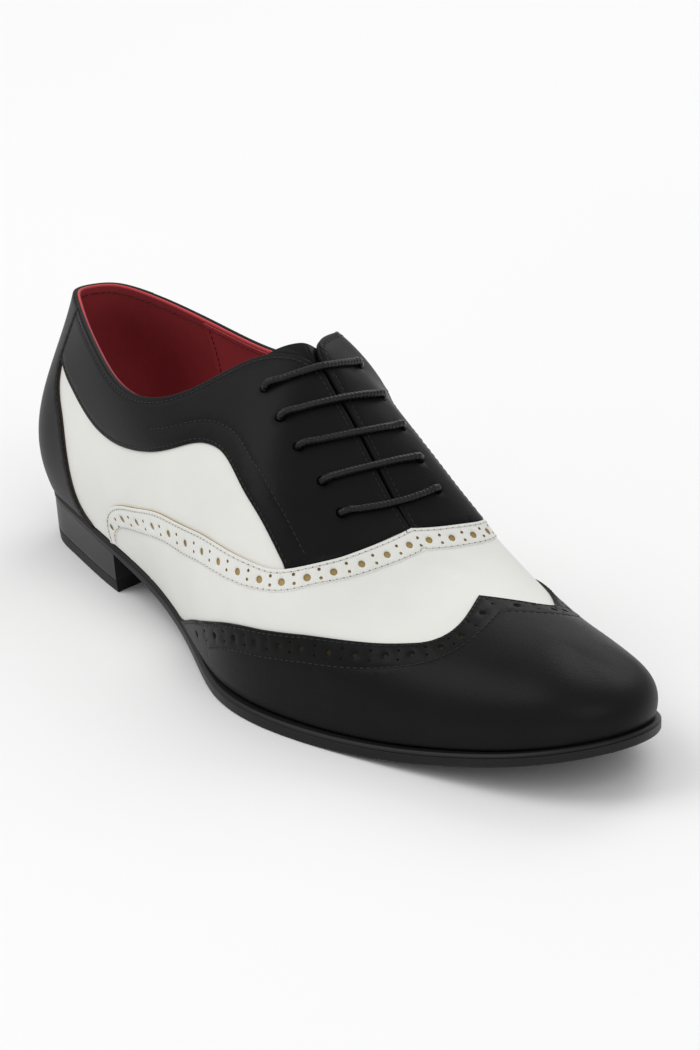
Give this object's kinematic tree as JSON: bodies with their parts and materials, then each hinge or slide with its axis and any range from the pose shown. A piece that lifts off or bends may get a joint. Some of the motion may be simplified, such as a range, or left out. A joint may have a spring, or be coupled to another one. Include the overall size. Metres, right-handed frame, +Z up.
{
  "type": "lace-up dress shoe",
  "caption": "Right two-tone wing-tip lace-up shoe: hollow leather upper on a thin sole with a low stacked heel, closed by straight bars of round lace.",
  "frame": {"origin": "middle of the whole box, on the floor that heel and forefoot stand on", "axes": "+X to the toe, +Y to the medial (inner) side, +Z up"},
  "size_m": [0.3062, 0.1018, 0.1062],
  "materials": {
    "white_leather": "satin smooth white leather",
    "black_leather": "satin smooth black leather",
    "red_lining": "matt dark red lining leather",
    "sole_black": "black sole, burnished edge",
    "heel_stack": "satin dark grey stacked heel",
    "heel_rubber": "matt black rubber",
    "lace_cord": "round waxed braid"
  },
  "bodies": {
    "root": {"brogue_strip": "white_leather", "counter": "black_leather", "facing_lateral": "black_leather", "facing_medial": "black_leather", "heel_block": "heel_stack", "heel_top_piece": "heel_rubber", "insole": "red_lining", "lace_bar_1": "lace_cord", "lace_bar_2": "lace_cord", "lace_bar_3": "lace_cord", "lace_bar_4": "lace_cord", "lace_bar_5": "lace_cord", "outsole": "sole_black", "tongue": "black_leather", "upper": "white_leather", "wing_cap": "black_leather"}
  },
  "joints": []
}
